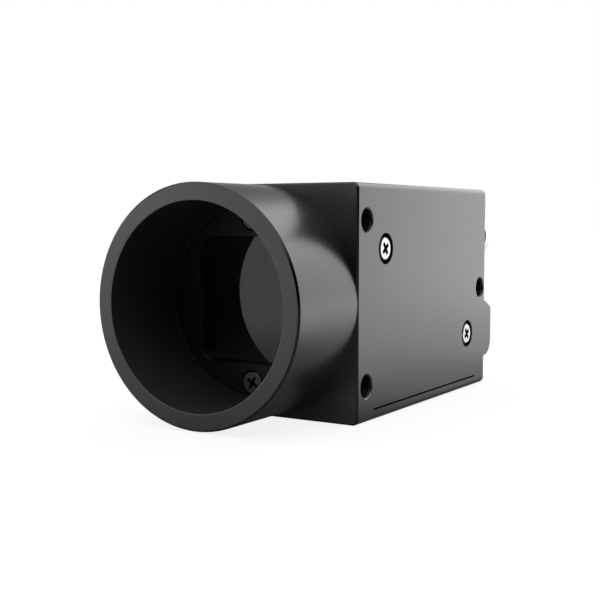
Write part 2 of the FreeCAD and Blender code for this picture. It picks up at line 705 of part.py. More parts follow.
save("front_spacers", spacers((SENSOR_BOARD_BACK, PROCESSOR_BOARD_FRONT)))
save("rear_spacers", spacers((PROCESSOR_BOARD_BACK, INTERFACE_BOARD_FRONT)))
save("board_screws", small_screws(BOARD_HOLES, INTERFACE_BOARD_BACK + SMALL_SCREW[1], vec(0, -1, 0)))
connector_screw_top = CONNECTOR_BOARD_FRONT - SMALL_SCREW[1]
save("connector_board_screws", small_screws(POST_PLACES, connector_screw_top, vec(0, 1, 0)))

GAPS = {
    "front": (SENSOR_BOARD_BACK, PROCESSOR_BOARD_FRONT),
    "middle": (PROCESSOR_BOARD_BACK, INTERFACE_BOARD_FRONT),
    "rear": (INTERFACE_BOARD_BACK, CONNECTOR_BOARD_FRONT),
}
for place, gap in GAPS.items():
    plug, socket = link_halves(gap)
    save("link_plug_" + place, plug)
    save("link_socket_" + place, socket)

save("processor_chip", processor_chip())
save("memory_chip", block_before(MEMORY_CHIP, PROCESSOR_BOARD_FRONT))
save("data_chip", block_before(DATA_CHIP, INTERFACE_BOARD_FRONT))
save("power_coils", power_coils())
save("capacitors", capacitors())

save("housing_cover", housing_cover())
save("cover_screws_front", cover_screws(COVER_SCREW_FRONT))
save("cover_screws_rear", cover_screws(COVER_SCREW_REAR))
save("floor_plate", floor_plate())

save("rear_housing", rear_housing())
save("data_socket_shell", data_socket_shell())
save("data_socket_tongue", data_socket_tongue())
save("power_socket_shell", power_socket_shell())
save("power_socket_nut", power_socket_nut())
save("power_socket_insert", power_socket_insert())
save("power_socket_pins", power_socket_pins())
save("status_lamp", status_lamp())
save("status_light_pipe", status_light_pipe())
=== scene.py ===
import math

import bmesh
import bpy
import numpy as np
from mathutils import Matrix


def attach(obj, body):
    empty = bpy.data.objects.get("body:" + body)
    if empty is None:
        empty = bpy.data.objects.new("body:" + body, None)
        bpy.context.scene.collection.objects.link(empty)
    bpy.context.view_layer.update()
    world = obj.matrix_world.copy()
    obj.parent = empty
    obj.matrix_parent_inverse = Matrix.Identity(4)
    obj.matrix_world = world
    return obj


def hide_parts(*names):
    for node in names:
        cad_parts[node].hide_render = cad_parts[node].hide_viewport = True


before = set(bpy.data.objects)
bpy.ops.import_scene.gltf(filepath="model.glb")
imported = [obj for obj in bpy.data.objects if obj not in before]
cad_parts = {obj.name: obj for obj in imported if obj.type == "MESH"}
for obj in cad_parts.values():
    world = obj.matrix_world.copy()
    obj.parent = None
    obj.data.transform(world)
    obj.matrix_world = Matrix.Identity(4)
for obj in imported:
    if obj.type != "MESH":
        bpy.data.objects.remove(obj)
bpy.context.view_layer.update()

# The viewpoint. The eye stands a little above the optical axis, to the right of the lens, and
# looks down the tube and along the side where the power socket is.
MM = 0.001
EYE_TURN, EYE_DROP = 31.5705, 4.496
eye = bpy.data.objects.new("eye", bpy.data.cameras.new("eye"))
eye.data.lens = 62.48
eye.data.sensor_width = 36.0
eye.data.clip_start = 5.0 * MM
eye.location = (72.743 * MM, -94.854 * MM, 10.253 * MM)
eye.rotation_euler = (math.radians(90.0 - EYE_DROP), 0.0, math.radians(EYE_TURN))
bpy.context.scene.collection.objects.link(eye)
bpy.context.scene.camera = eye
bpy.context.scene.view_settings.view_transform = "Standard"

# The studio table, a sheet of white paper. The eye sees it as white as the room. Metal and glass
# show its own glow, which is painted darker round the object and in front of the lens: a painted
# shadow and painted shade. Under diffuse light it is only grey, so the object's shadow stays.
TABLE_TOP = -14.52 * MM
TABLE_HALF = 2.0
PAPER_WHITE = 0.86


def mesh_piece(name, points, faces):
    """A mesh object from an array of points and a list of faces, put straight into the scene."""
    mesh = bpy.data.meshes.new(name)
    mesh.from_pydata(np.asarray(points, float).reshape(-1, 3).tolist(), [], faces)
    mesh.update()
    piece = bpy.data.objects.new(name, mesh)
    bpy.context.scene.collection.objects.link(piece)
    return piece


def material(name):
    """A new node material: itself, its node tree, its shader and its Object coordinates."""
    made = bpy.data.materials.new(name)
    made.use_nodes = True
    tree = made.node_tree
    shader = tree.nodes["Principled BSDF"]
    place = tree.nodes.new("ShaderNodeTexCoord").outputs["Object"]
    return made, tree, shader, place


def fed(tree, socket, value):
    """Gives a socket a plain number, direction or colour, or links it to another node's output."""
    if isinstance(value, (int, float, tuple)):
        socket.default_value = value
    else:
        tree.links.new(value, socket)


def joined(tree, kind, operation, *values):
    """One maths node with its values."""
    node = tree.nodes.new(kind)
    node.operation = operation
    for socket, value in zip(node.inputs, values):
        fed(tree, socket, value)
    return node.outputs["Value"] if operation in ("DOT_PRODUCT", "LENGTH", "DISTANCE") else node.outputs[0]


def maths(tree, operation, *values):
    """Maths on single numbers."""
    return joined(tree, "ShaderNodeMath", operation, *values)


def vectors(tree, operation, *values):
    """Maths on places and directions."""
    return joined(tree, "ShaderNodeVectorMath", operation, *values)


def ramp(tree, value, low, high, start, end):
    """The value carried smoothly from start to end while it goes from low to high."""
    node = tree.nodes.new("ShaderNodeMapRange")
    node.interpolation_type = "SMOOTHSTEP"
    tree.links.new(value, node.inputs["Value"])
    for key, number in (("From Min", low), ("From Max", high), ("To Min", start), ("To Max", end)):
        node.inputs[key].default_value = number
    return node.outputs["Result"]


def fading(tree, distance, low, high, start, end):
    """A ramp over a distance whose two ends are given in millimetres."""
    return ramp(tree, distance, low * MM, high * MM, start, end)


def effect(name, inputs, outputs):
    """An empty node group with named inputs and outputs: itself, what comes in and what goes out."""
    group = bpy.data.node_groups.new(name, "ShaderNodeTree")
    for end, sockets in (("INPUT", inputs), ("OUTPUT", outputs)):
        for socket, kind in sockets.items():
            group.interface.new_socket(socket, in_out=end, socket_type="NodeSocket" + kind)
    return group, group.nodes.new("NodeGroupInput").outputs, group.nodes.new("NodeGroupOutput").inputs


def placed(tree, group, values):
    """A group placed in a material with its own values. Gives its outputs back."""
    node = tree.nodes.new("ShaderNodeGroup")
    node.node_tree = group
    for key, value in values.items():
        fed(tree, node.inputs[key], value)
    return node.outputs


def mixed(tree, mask, first, second):
    """A colour that goes from the first to the second as the mask goes from 0 to 1."""
    node = tree.nodes.new("ShaderNodeMixRGB")
    for key, value in (("Fac", mask), ("Color1", first), ("Color2", second)):
        fed(tree, node.inputs[key], value)
    return node.outputs["Color"]


def soft_cloud():
    """A soft noise, for a tone that drifts slowly over a surface."""
    group, given, result = effect("soft cloud", {"Vector": "Vector", "Scale": "Float"}, {"Cloud": "Float"})
    noise = group.nodes.new("ShaderNodeTexNoise")
    for key in ("Vector", "Scale"):
        group.links.new(given[key], noise.inputs[key])
    group.links.new(noise.outputs["Fac"], result["Cloud"])
    return group


CLOUD = soft_cloud()


def clouded(tree, shader, place, scale, dark, light):
    """A colour that drifts between two tones. Gives the cloud back."""
    cloud = placed(tree, CLOUD, {"Vector": place, "Scale": scale})["Cloud"]
    tree.links.new(mixed(tree, cloud, dark + (1.0,), light + (1.0,)), shader.inputs["Base Color"])
    return cloud


corners = [(x * TABLE_HALF, y * TABLE_HALF, TABLE_TOP) for x, y in ((-1, -1), (1, -1), (1, 1), (-1, 1))]
table = mesh_piece("table", corners, [(0, 1, 2, 3)])
paper, tree, shader, place = material("white paper")
shader.inputs["Roughness"].default_value = 0.9
shader.inputs["Specular IOR Level"].default_value = 0.0
shader.inputs["Emission Color"].default_value = (1.0, 1.0, 1.0, 1.0)
clouded(tree, shader, place, 900.0, (0.22, 0.22, 0.22), (0.25, 0.25, 0.25))

# `out` is the distance from the rectangle that the object covers on the table. The mirrored glow
# is painted shade: it rises from the edge of that rectangle outwards and from the lens to the back,
# a painted shadow round the object and a painted shade in front of it. Further out it also rises
# to the left of the lens, where the painted shade of the curtain ends.
COVERED_MIDDLE, COVERED_HALF = 29.0, (14.5, 29.5)
out = vectors(tree, "SUBTRACT", place, (0.0, COVERED_MIDDLE * MM, TABLE_TOP))
out = vectors(tree, "ABSOLUTE", out)
out = vectors(tree, "SUBTRACT", out, (COVERED_HALF[0] * MM, COVERED_HALF[1] * MM, 0.0))
out = vectors(tree, "MAXIMUM", out, (0.0, 0.0, 0.0))
out = vectors(tree, "LENGTH", out)
back = vectors(tree, "DOT_PRODUCT", place, (0.0, 1.0, 0.0))
right = vectors(tree, "DOT_PRODUCT", place, (1.0, 0.0, 0.0))
# painted shadow: the mirrored glow stays low along the object's rectangle and towards the lens
near = maths(tree, "ADD", fading(tree, out, 0.0, 2.0, 0.0, 0.26), fading(tree, out, 8.0, 38.0, 0.0, 0.34))
near = maths(tree, "MULTIPLY", near, fading(tree, back, 12.0, 50.0, 0.0, 1.0))
# painted curtain shade: the far glow stays low to the right of the lens and at the front
outside_painted_shade = fading(tree, right, 20.0, -20.0, 0.0, 1.0)
outside_painted_shade = maths(tree, "MAXIMUM", outside_painted_shade, fading(tree, back, 0.0, 50.0, 0.0, 1.0))
far = maths(tree, "MULTIPLY", outside_painted_shade, fading(tree, out, 30.0, 110.0, 0.0, 0.16))
glow = maths(tree, "ADD", maths(tree, "ADD", near, far), 0.03)
rays = tree.nodes.new("ShaderNodeLightPath")
mirrored = maths(tree, "MAXIMUM", rays.outputs["Is Glossy Ray"], rays.outputs["Is Transmission Ray"])
seen = maths(tree, "MULTIPLY", rays.outputs["Is Camera Ray"], PAPER_WHITE)
glow = maths(tree, "ADD", seen, maths(tree, "MULTIPLY", mirrored, glow))
tree.links.new(glow, shader.inputs["Emission Strength"])
table.data.materials.append(paper)

# The studio room, white all round. Only low down it is dark: a wide curtain stands in front of
# the lens on the right, and a small screen behind the object on the left. The eye looks at the
# white part between them, so metal mirrors the same white there as the background has.
room = bpy.data.worlds.new("room")
bpy.context.scene.world = room
room.use_nodes = True
tree = room.node_tree
sky = tree.nodes["Background"]
way = tree.nodes.new("ShaderNodeTexCoord").outputs["Generated"]


def towards(azimuth, elevation):
    """A direction from its angle round from the lens towards the right, and its height."""
    a, e = math.radians(azimuth), math.radians(elevation)
    return (math.sin(a) * math.cos(e), -math.cos(a) * math.cos(e), math.sin(e))


def facing(azimuth, elevation):
    """How nearly a look into the room goes in that direction: 1 straight at it, -1 away."""
    return vectors(tree, "DOT_PRODUCT", way, towards(azimuth, elevation))


curtain = ramp(tree, facing(50, 0), -0.28, 0.31, 0.0, 0.98)
screen = ramp(tree, facing(228, 38), 0.80, 0.92, 0.0, 0.85)
low_down = ramp(tree, facing(0, 90), 0.42, 0.78, 1.0, 0.0)
dark = maths(tree, "MULTIPLY", low_down, maths(tree, "MAXIMUM", curtain, screen))
level = maths(tree, "SUBTRACT", 1.0, dark)
rays = tree.nodes.new("ShaderNodeLightPath")
level = maths(tree, "MAXIMUM", level, rays.outputs["Is Camera Ray"])
level = maths(tree, "MAXIMUM", level, rays.outputs["Is Transmission Ray"])
tree.links.new(level, sky.inputs["Strength"])
sky.inputs["Color"].default_value = (1.0, 1.0, 1.0, 1.0)


def soft_lamp(name, azimuth, elevation, distance, width, height, radiance):
    """A flat soft lamp of that size in metres and that evenness, which looks at the object."""
    lamp = bpy.data.lights.new(name, "AREA")
    lamp.shape = "RECTANGLE"
    lamp.size = width
    lamp.size_y = height
    lamp.energy = radiance * math.pi * width * height
    holder = bpy.data.objects.new(name, lamp)
    object_middle = np.array((0.0, 0.025, 0.0))
    holder.location = object_middle + np.array(towards(azimuth, elevation)) * distance
    holder.rotation_euler = (math.pi / 2 - math.radians(elevation), 0.0, math.radians(azimuth))
    holder.visible_camera = False
    bpy.context.scene.collection.objects.link(holder)


# three soft lamps behind the object give the bright rear end of its side
soft_lamp("low rear lamp", 166, 5, distance=0.16, width=0.10, height=0.07, radiance=0.4)
soft_lamp("high rear lamp", 172, 27, distance=0.35, width=0.22, height=0.14, radiance=0.45)
soft_lamp("near rear lamp", 177, 20, distance=0.092, width=0.06, height=0.025, radiance=0.3)

# The front housing, lens tube and square front block in one, turned and milled from an aluminium
# bar, bead blasted and anodised black. The bore takes the lens, and the wells behind it hold the
# filter and open onto the sensor. Its lugs and posts carry the cover and the boards.
BLOCK_HALF = 14.5
BLOCK_FRONT, BLOCK_BACK = 13.0, 17.17
BLOCK_CHAMFER = 0.2
EDGE = 0.8
TUBE = 14.4
LIP_CHAMFER = 0.24
BORE = 12.3
BORE_ROUND = 0.05
PLATE_FACE, PLATE_SEAT = 12.1, 13.55
SIDE_HOLES = [(15.25, -10.0), (15.25, 10.0)]


def octant_angles():
    """Angles round the axis, close together where the block's rounded corners are."""
    plain = np.radians(np.concatenate([np.arange(0.0, 43.0, 1.25), np.linspace(43.3, 45.0, 7)]))
    half = np.concatenate([plain, (math.pi / 2 - plain[::-1])[1:-1]])
    return np.concatenate([half + k * math.pi / 2 for k in range(4)])


ANGLES = octant_angles()


def square_reach(half, corner):
    """Distance from the axis to a square with rounded corners, in the direction of each angle: to
    its straight side, or to the circle about the corner's centre where that comes first."""
    far = np.maximum(abs(np.cos(ANGLES)), abs(np.sin(ANGLES)))
    near = np.minimum(abs(np.cos(ANGLES)), abs(np.sin(ANGLES)))
    straight = half / far
    centre = half - corner
    along = centre * (far + near)
    rounded = along + np.sqrt(np.maximum(along**2 - 2 * centre**2 + corner**2, 0.0))
    return np.where(straight * near <= centre, straight, rounded)


def stations(rows):
    """Rings about the optical axis: each row gives the distance from the axis and the place along it,
    as one number or one for each angle."""
    reach = np.stack([np.broadcast_to(r, ANGLES.shape) for r, y in rows])
    along = np.stack([np.broadcast_to(y, ANGLES.shape) for r, y in rows])
    return np.stack([reach * np.cos(ANGLES), along, reach * np.sin(ANGLES)], -1) * MM


def closed(piece):
    """Merges points that meet, turns all faces outwards and shades the piece smooth between its edges."""
    skin = bmesh.new()
    skin.from_mesh(piece.data)
    bmesh.ops.remove_doubles(skin, verts=skin.verts, dist=1e-7)
    bmesh.ops.dissolve_degenerate(skin, edges=skin.edges, dist=1e-8)
    bmesh.ops.recalc_face_normals(skin, faces=skin.faces)
    skin.to_mesh(piece.data)
    skin.free()
    piece.data.shade_smooth()
    piece.data.set_sharp_from_angle(angle=math.radians(30.0))
    return piece


def carried(name, rings, loop=False):
    """A closed skin over rings of points: point j of ring i is joined to its neighbours on that ring
    and to point j of the next ring. A loop joins the last ring to the first, else both ends get a face."""
    rows, count = rings.shape[:2]
    i = np.arange(rows if loop else rows - 1)[:, None]
    j = np.arange(count)[None, :]
    after = (j + 1) % count
    below = (i + 1) % rows
    sides = (i * count + j, i * count + after, below * count + after, below * count + j)
    faces = np.stack(np.broadcast_arrays(*sides), -1).reshape(-1, 4).tolist()
    if not loop:
        faces.append(list(range(count)))
        faces.append(list(range((rows - 1) * count, rows * count)))
    return closed(mesh_piece(name, rings, faces))


def worked(piece, *tools, operation="DIFFERENCE"):
    """Cuts the tools out of the piece, or joins them to it, and takes the tools away."""
    for tool in tools:
        step = piece.modifiers.new("work", "BOOLEAN")
        step.operation = operation
        step.solver = "EXACT"
        step.object = tool
    bpy.context.view_layer.update()
    result = bpy.data.meshes.new_from_object(piece.evaluated_get(bpy.context.evaluated_depsgraph_get()))
    piece.modifiers.clear()
    old = piece.data
    piece.data = result
    bpy.data.meshes.remove(old)
    result.name = piece.name
    for tool in tools:
        bpy.data.objects.remove(tool)
    return closed(piece)


def gathered(name, pieces):
    """Several closed bodies as one piece."""
    skin = bmesh.new()
    for piece in pieces:
        skin.from_mesh(piece.data)
        bpy.data.objects.remove(piece)
    mesh = bpy.data.meshes.new(name)
    skin.to_mesh(mesh)
    skin.free()
    whole = bpy.data.objects.new(name, mesh)
    bpy.context.scene.collection.objects.link(whole)
    return closed(whole)


def laid(u, v, w, centre, axis):
    """Points from two coordinates across an axis and one along it. The axis is a sign and a letter."""
    sign = -1.0 if axis[0] == "-" else 1.0
    order = {"x": (w * sign, u, v), "y": (u, w * sign, v), "z": (u, v, w * sign)}[axis[1]]
    return (np.stack(order, -1) + np.asarray(centre, float)) * MM


def turned(name, profile, centre, axis, sides=64, loop=False):
    """A body of revolution: the profile, whose columns are the distance from the axis and the depth
    along it, goes round the axis through the centre. A looped profile doesn't touch the axis."""
    turn = np.linspace(0, 2 * math.pi, sides, endpoint=False)
    reach, depth = np.asarray(profile, float).T
    u = reach[:, None] * np.cos(turn)
    v = reach[:, None] * np.sin(turn)
    w = np.broadcast_to(depth[:, None], u.shape)
    return carried(name, laid(u, v, w, centre, axis), loop)


def thread_cutter(name, centre, axis, depth=3.0, minor=1.28, major=1.38, mouth=1.58, pitch=0.5):
    """The shape of a tapped hole. The radius rises and falls once each pitch along a helix, fades out
    at the bottom, and widens to the countersink at the mouth."""
    steps_round, steps_per_pitch, run_out = 40, 8, 0.3
    turn = np.linspace(0, 2 * math.pi, steps_round, endpoint=False)
    down = np.linspace(0.0, depth, int(depth / pitch) * steps_per_pitch + 1)
    phase = (down[:, None] / pitch - turn / (2 * math.pi)) % 1.0
    tooth = 1.0 - np.abs(2.0 * phase - 1.0)
    fade = np.clip((depth - run_out - down) / run_out, 0.0, 1.0)[:, None]
    reach = minor + (major - minor) * tooth * fade
    reach = np.maximum(reach, (mouth - down)[:, None])
    reach = np.vstack([np.full((1, steps_round), mouth), reach])
    down = np.concatenate([[-0.5], down])
    w = np.broadcast_to(down[:, None], reach.shape)
    return carried(name, laid(reach * np.cos(turn), reach * np.sin(turn), w, centre, axis))


def arc(centre, radius, start, end, steps):
    """Points on part of a circle, as two columns."""
    turn = np.radians(np.linspace(start, end, steps))
    return np.stack([centre[0] + radius * np.cos(turn), centre[1] + radius * np.sin(turn)], -1)


def block_box(name, xs, ys, zs, edge=0.0, steps=3):
    """A closed box from its ends on each axis: a rectangle, or one whose corners are quarter circles,
    carried along Y."""
    if edge:
        corners = [(xs[1] - edge, zs[1] - edge, 0), (xs[0] + edge, zs[1] - edge, 90),
                   (xs[0] + edge, zs[0] + edge, 180), (xs[1] - edge, zs[0] + edge, 270)]
        outline = np.vstack([arc((x, z), edge, a, a + 90, steps + 1) for x, z, a in corners])
    else:
        outline = np.array([(xs[1], zs[1]), (xs[0], zs[1]), (xs[0], zs[0]), (xs[1], zs[0])], float)
    rings = [np.stack([outline[:, 0], np.full(len(outline), y), outline[:, 1]], -1) for y in ys]
    return carried(name, np.stack(rings) * MM)


# the tube is nearly as wide as the block, so the block's broken edge starts later in its middles
edge_start = np.maximum(square_reach(BLOCK_HALF - BLOCK_CHAMFER, EDGE - 0.1), TUBE + 0.001)
tube_span = TUBE * np.maximum(abs(np.cos(ANGLES)), abs(np.sin(ANGLES)))
edge_rise = BLOCK_FRONT + np.maximum(tube_span - (BLOCK_HALF - BLOCK_CHAMFER), 0.0)
block_side = square_reach(BLOCK_HALF, EDGE)
sensor_well, filter_well = square_reach(7.5, 1.0), square_reach(9.05, 0.1)
bore_round = [(BORE + BORE_ROUND - BORE_ROUND * math.cos(a), BORE_ROUND - BORE_ROUND * math.sin(a))
              for a in np.radians([0, 30, 60, 90])]
rows = [
    (sensor_well, BLOCK_BACK), (sensor_well, 14.9), (filter_well, 14.9), (filter_well, PLATE_SEAT),
    (11.9, PLATE_SEAT), (11.9, PLATE_FACE), (BORE, PLATE_FACE), (BORE, 12.0), (BORE, 6.0), (BORE, 0.15),
    *bore_round, (BORE + 0.15, 0.0), (TUBE - LIP_CHAMFER - 0.02, 0.0), (TUBE - LIP_CHAMFER, 0.0),
    (TUBE, LIP_CHAMFER), (TUBE, LIP_CHAMFER + 0.02), (TUBE, 6.0), (TUBE, 12.9),
    (TUBE, edge_rise), (edge_start, edge_rise),
    (block_side, BLOCK_FRONT + BLOCK_CHAMFER), (block_side, 13.23), (block_side, 17.12),
    (block_side, BLOCK_BACK), (square_reach(12.0, EDGE), BLOCK_BACK),
]
front_housing = carried("lens_tube_block", stations(rows), loop=True)
cutters = []
for y, z in SIDE_HOLES:
    cutters.append(thread_cutter("tap", (BLOCK_HALF, y, z), "-x"))
    cutters.append(thread_cutter("tap", (-BLOCK_HALF, y, z), "+x"))
    cutters.append(thread_cutter("tap", (z, y, -BLOCK_HALF), "+z"))
front_housing = worked(front_housing, gathered("taps", cutters))

POST_ACROSS, POST_UP = 8.6, 10.2
LUG_IN, LUG_OUT, LUG_ROUND = 10.6, 12.9, 0.3
post_line = [(0.0, 17.0), (1.6, 17.0), (1.6, 19.1), (1.5, 19.2), (0.0, 19.2)]
inner = [turned("post", post_line, (x, 0, z), "+y", 24)
         for x in (-POST_ACROSS, POST_ACROSS) for z in (-POST_UP, POST_UP)]
for xs in ((-LUG_OUT, -LUG_IN), (LUG_IN, LUG_OUT)):
    inner.append(block_box("lug", xs, (17.0, 21.97), (4.5, 8.5), LUG_ROUND))
front_housing = gathered("lens_tube_block", [front_housing] + inner)


def satin_grain():
    """Bead-blasted metal. A fine noise gives small pits, and a coarse one slow changes of tone."""
    inputs, outputs = {"Vector": "Vector", "Pit Size": "Float"}, {"Pits": "Float", "Tone": "Float"}
    group, given, result = effect("satin grain", inputs, outputs)
    pits_per_metre = maths(group, "DIVIDE", 1.0, given["Pit Size"])
    for key, detail, scale in (("Pits", 3.0, pits_per_metre), ("Tone", 2.0, 130.0)):
        noise = group.nodes.new("ShaderNodeTexNoise")
        noise.inputs["Detail"].default_value = detail
        fed(group, noise.inputs["Scale"], scale)
        group.links.new(given["Vector"], noise.inputs["Vector"])
        group.links.new(noise.outputs["Fac"], result[key])
    return group


GRAIN = satin_grain()


def with_grain(tree, shader, place, colour, roughness, pit_size, pit_depth, spread=0.06, uneven=0.04):
    """Lays the grain into a material: tone into the colour, pits into roughness and height. Pit size
    and depth are in millimetres. Gives the colour and the normal back."""
    grain = placed(tree, GRAIN, {"Vector": place, "Pit Size": pit_size * MM})
    darker, lighter = (tuple(c * share for c in colour) + (1.0,) for share in (1 - uneven, 1 + uneven))
    tone = mixed(tree, grain["Tone"], darker, lighter)
    tree.links.new(tone, shader.inputs["Base Color"])
    rough = ramp(tree, grain["Pits"], 0.3, 0.7, roughness - spread / 2, roughness + spread / 2)
    tree.links.new(rough, shader.inputs["Roughness"])
    bump = tree.nodes.new("ShaderNodeBump")
    bump.inputs["Strength"].default_value = 1.0
    bump.inputs["Distance"].default_value = pit_depth * MM
    tree.links.new(grain["Pits"], bump.inputs["Height"])
    tree.links.new(bump.outputs["Normal"], shader.inputs["Normal"])
    return tone, bump.outputs["Normal"]


def grained(name, colour, roughness, pit_size, pit_depth, sockets, **more):
    """A finish of plain shader values with the grain laid in."""
    made, tree, shader, place = material(name)
    for key, value in sockets.items():
        shader.inputs[key].default_value = value
    with_grain(tree, shader, place, colour, roughness, pit_size, pit_depth, **more)
    return made


def anodised(name, colour, roughness, rim=1.0):
    """Anodised aluminium. The rim is how white it gets at a grazing look."""
    sockets = {"Metallic": 1.0, "Specular Tint": (rim, rim, rim, 1.0)}
    return grained(name, colour, roughness, 0.12, 0.0006, sockets)


def matt_black_and_shade(name, colour, roughness, gloss):
    """Matt black, as dyed and left unpolished. It gives the bore its coat, dark enough to paint in the shade
    inside the bore, and it is the painted shade inside the tapped holes.
    """
    return grained(name, colour, roughness, 0.2, 0.0006, {"Specular IOR Level": gloss})


def face_middles(piece):
    """The middle of each face of the piece, in millimetres."""
    middle = np.empty(len(piece.data.polygons) * 3)
    piece.data.polygons.foreach_get("center", middle)
    return middle.reshape(-1, 3) / MM


def within(middle, along, centre, radius, low, high):
    """Marks the faces nearer than that radius to an axis, and between two distances along it on
    either side of the origin."""
    across = [k for k in range(3) if k != along]
    away = np.hypot(middle[:, across[0]] - centre[0], middle[:, across[1]] - centre[1])
    depth = np.abs(middle[:, along])
    return (away < radius) & (depth > low) & (depth < high)


black_anodised = anodised("black anodised aluminium", (0.20, 0.20, 0.203), 0.28)
hole_shade_black = matt_black_and_shade("painted shade in tapped holes", (0.012, 0.012, 0.0122), 0.4, 0.3)
front_housing.data.materials.append(black_anodised)
# the bore's matt black coat is dark enough to paint in the shade that falls inside the bore
front_housing.data.materials.append(matt_black_and_shade("matt black bore and painted shade", (0.042, 0.042, 0.043), 0.5, 0.4))
front_housing.data.materials.append(hole_shade_black)
# painted shade: the front chamfers get a darker colour, so that they show as a dark line
front_housing.data.materials.append(anodised("chamfers painted dark", (0.07, 0.07, 0.071), 0.16, 0.8))
PLAIN, BORE_COAT_AND_SHADE, HOLE_SHADE, DARK_PAINTED_EDGES = range(4)
THREAD_FOOT, THREAD_MOUTH = BLOCK_HALF - 5.2, BLOCK_HALF - 0.12
middle = face_middles(front_housing)
finishes = np.full(len(middle), PLAIN)
# painted shade: the faces of the bore get the dark matt coat
finishes[within(middle, 1, (0.0, 0.0), BORE + 0.02, 0.06, 13.6)] = BORE_COAT_AND_SHADE
for y, z in SIDE_HOLES:
    # painted shade: the faces inside each tapped hole get the near-black material
    finishes[within(middle, 0, (y, z), 1.5, THREAD_FOOT, THREAD_MOUTH)] = HOLE_SHADE
    finishes[within(middle, 2, (z, y), 1.5, THREAD_FOOT, THREAD_MOUTH)] = HOLE_SHADE
from_axis = np.hypot(middle[:, 0], middle[:, 2])
# painted shade: the block's and the lip's front chamfers are marked for the darker colour
block_edge = (middle[:, 1] > 13.02) & (middle[:, 1] < 13.19) & (from_axis > TUBE + 0.01)
lip_edge = (middle[:, 1] > 0.02) & (middle[:, 1] < 0.23) & (from_axis > TUBE - 0.23)
finishes[block_edge | lip_edge] = DARK_PAINTED_EDGES
front_housing.data.polygons.foreach_set("material_index", finishes)
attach(front_housing, "root")
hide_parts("front_housing")

# The aperture plate, a black anodised disc at the bottom of the bore. Its rounded square window
# lets the light through to the sensor, and two screws in sunk seats press it on the filter.
PLATE = 11.8
WINDOW_CORNER = 2.3
SCREW_HEIGHTS = (-10.3, 10.3)
window = square_reach(8.0, WINDOW_CORNER)
plate_rows = [
    (window, 13.5), (window, PLATE_FACE + 0.03), (square_reach(8.03, WINDOW_CORNER), PLATE_FACE),
    (square_reach(8.2, WINDOW_CORNER), PLATE_FACE), (PLATE - 0.15, PLATE_FACE), (PLATE - 0.05, PLATE_FACE),
    (PLATE, PLATE_FACE + 0.05), (PLATE, 13.5), (PLATE - 0.05, PLATE_SEAT),
    (square_reach(8.05, WINDOW_CORNER), PLATE_SEAT),
]
aperture = carried("aperture_disc", stations(plate_rows), loop=True)
seat_line = [(0, -0.5), (1.6, -0.5), (1.6, 0.75), (0.8, 0.75), (0.8, 2.0), (0, 2.0)]
seats = [turned("seat", seat_line, (0, PLATE_FACE, z), "+y", 48) for z in SCREW_HEIGHTS]
aperture = worked(aperture, gathered("seats", seats))
aperture.data.materials.append(anodised("matt black", (0.075, 0.075, 0.076), 0.45, 0.5))
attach(aperture, "root")
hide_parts("aperture_plate")


# The bore screws, which hold the aperture plate. They are of steel with a flat head and a
# pressed cross recess, and blackened, so that they don't throw light at the sensor.
def cross_screw(name, centre, axis, head, height, shank, length, slot_width, slot_depth, reach, turn, slope):
    """A screw with a flat head and a cross recess: a turned head and shank, less two crossed
    wedges that get narrower and shorter with depth. The head's rim falls off over the slope."""
    profile = [(0, 0), (head - slope - 0.05, 0.0), (head - slope, 0.0), (head - 0.02, 0.14),
               (head, 0.17), (head, height), (shank, height), (shank, height + length - 0.2),
               (shank - 0.2, height + length), (0, height + length)]
    body = turned(name, profile, centre, axis, 72)
    wings = []
    for quarter in (0, 90):
        angle = math.radians(turn + quarter)
        rows = []
        for depth, share in ((-0.3, 1.0), (0.0, 1.0), (slot_depth, 0.75)):
            long, wide = reach * share, slot_width * (0.5 + 0.5 * share) / 2
            corners = np.array([(long, wide), (-long, wide), (-long, -wide), (long, -wide)])
            u = corners[:, 0] * math.cos(angle) - corners[:, 1] * math.sin(angle)
            v = corners[:, 0] * math.sin(angle) + corners[:, 1] * math.cos(angle)
            rows.append(laid(u, v, np.full(4, depth), centre, axis))
        wings.append(carried("wing", np.stack(rows)))
    return worked(body, *wings)


def turning_rings():
    """The rings that a lathe leaves: a sine of the distance from the nearer of two centres, seen
    across the two directions that Across keeps."""
    sockets = {"Vector": "Vector", "Across": "Vector", "Centre": "Vector", "Other Centre": "Vector",
               "Ring Size": "Float"}
    group, given, result = effect("turning rings", sockets, {"Height": "Float"})
    flat = vectors(group, "MULTIPLY", given["Vector"], given["Across"])
    away, other = (vectors(group, "DISTANCE", flat, given[key]) for key in ("Centre", "Other Centre"))
    rings = maths(group, "DIVIDE", maths(group, "MINIMUM", away, other), given["Ring Size"])
    group.links.new(maths(group, "SINE", maths(group, "MULTIPLY", rings, 2 * math.pi)), result["Height"])
    return group


def screw_shade_mask():
    """A mask for painted shade on a screw: 1 on its face and 0 below it, in the recess and down the
    flank, which are painted black as shade. Height is counted in the outward direction, on either
    side of the origin."""
    sockets = {"Vector": "Vector", "Outward": "Vector", "Face": "Float"}
    group, given, result = effect("screw painted shade", sockets, {"Unpainted": "Float"})
    height = vectors(group, "DOT_PRODUCT", vectors(group, "ABSOLUTE", given["Vector"]), given["Outward"])
    above = maths(group, "SUBTRACT", height, given["Face"])
    group.links.new(fading(group, above, -0.08, -0.02, 0.0, 1.0), result["Unpainted"])
    return group


RINGS = turning_rings()
SCREW_SHADE = screw_shade_mask()


